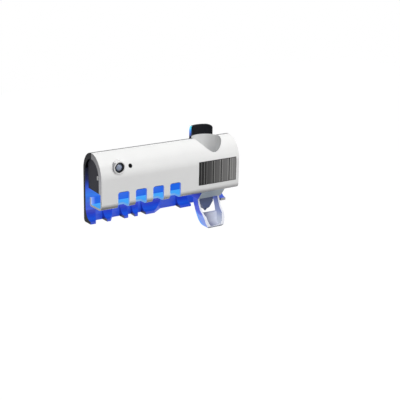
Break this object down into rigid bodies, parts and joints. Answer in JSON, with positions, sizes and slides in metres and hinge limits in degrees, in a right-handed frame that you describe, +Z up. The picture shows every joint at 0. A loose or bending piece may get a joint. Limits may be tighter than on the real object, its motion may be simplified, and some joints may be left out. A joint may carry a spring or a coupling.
{
  "type": "toothbrush sterilizer",
  "caption": "Wall-mounted toothbrush sterilizer with arched white cover, brush slots, UV chamber, motion sensor, solar panel, tube well and push-lever paste dispenser.",
  "frame": {"origin": "centre of the adhesive pad's back face, on the wall", "axes": "+X along the wall to the right as the user sees it, +Y into the wall, +Z up"},
  "size_m": [0.205, 0.0476, 0.1288],
  "materials": {
    "black_plastic": "moulded black plastic, satin gloss",
    "board": "green circuit board",
    "cell": "shrink-wrapped battery cell",
    "chip": "black electronic parts",
    "clear_window": "clear window over the lamps",
    "dark_plastic": "moulded dark grey plastic, fine texture",
    "foam": "closed-cell adhesive foam, matt",
    "frosted_plastic": "milky translucent plastic, glossy",
    "grey_plastic": "moulded light grey plastic, satin",
    "lens": "bluish grey domed lens, glossy",
    "magnet": "nickel-plated magnet, bright",
    "metal": "plain steel, satin",
    "plate_steel": "moulded plastic plate, satin",
    "silicone": "soft translucent silicone",
    "slate_plastic": "moulded slate plastic, satin",
    "smoked_lens": "black light window, glossy",
    "solar_cell": "dark solar cells in strips under clear resin",
    "uv_lamp": "violet-blue lamp chips, glowing",
    "white_plastic": "moulded white plastic, high gloss"
  },
  "bodies": {
    "wall_mount": {"wall_pad": "foam", "wall_plate": "plate_steel"},
    "housing": {"rear_housing": "black_plastic", "tube_sleeve": "white_plastic", "housing_magnets": "magnet"},
    "cover": {"front_cover": "white_plastic", "right_end_panel": "dark_plastic", "solar_panel": "solar_cell", "pir_bezel": "white_plastic", "pir_ring": "black_plastic", "pir_lens": "lens", "pir_sensor": "metal", "sensor_board": "board", "light_window": "smoked_lens", "light_sensor": "metal", "inner_box": "dark_plastic", "box_back": "dark_plastic", "box_screws": "metal", "cover_magnets": "magnet", "main_board": "board", "board_parts": "chip", "board_screws": "metal", "battery_holder": "black_plastic", "battery_cell": "cell", "uv_window": "clear_window", "uv_board": "board", "uv_leds": "uv_lamp", "usb_socket": "metal", "switch_body": "black_plastic"},
    "switch": {"switch_knob": "white_plastic"},
    "dispenser": {"dispenser_body": "grey_plastic", "dispenser_back": "dark_plastic", "dispenser_screws": "metal", "inlet_collar": "silicone", "feed_duct": "frosted_plastic", "pump_cylinder": "frosted_plastic", "nozzle_block": "slate_plastic", "outlet_valve": "silicone", "lever_pins": "metal", "return_spring": "metal"},
    "lever": {"push_lever": "frosted_plastic"},
    "pump_plunger": {"plunger": "grey_plastic", "plunger_seal": "silicone"}
  },
  "joints": [
    {"name": "housing_lift", "type": "slide", "parent": "wall_mount", "child": "housing", "axis": [0, 0, 1], "range_m": [0, 0.009]},
    {"name": "cover_pull", "type": "slide", "parent": "housing", "child": "cover", "axis": [0, -1, 0], "range_m": [0, 0.05]},
    {"name": "switch_slide", "type": "slide", "parent": "cover", "child": "switch", "axis": [0, 0, 1], "range_m": [0, 0.003]},
    {"name": "dispenser_slide", "type": "slide", "parent": "housing", "child": "dispenser", "axis": [0, 0, -1], "range_m": [0, 0.03]},
    {"name": "lever_hinge", "type": "hinge", "parent": "dispenser", "child": "lever", "pos_m": [0.0655, -0.016, -0.018], "axis": [1, 0, 0], "range_deg": [0, 18], "stiffness_Nm_per_rad": 0.06, "springref_deg": -8.59},
    {"name": "plunger_slide", "type": "slide", "parent": "dispenser", "child": "pump_plunger", "axis": [0, 1, 0], "range_m": [0, 0.0034], "deforming": ["return_spring"]}
  ],
  "couplings": [
    {"joint": "plunger_slide", "follows": "lever_hinge", "m_per_rad": 0.0105}
  ]
}
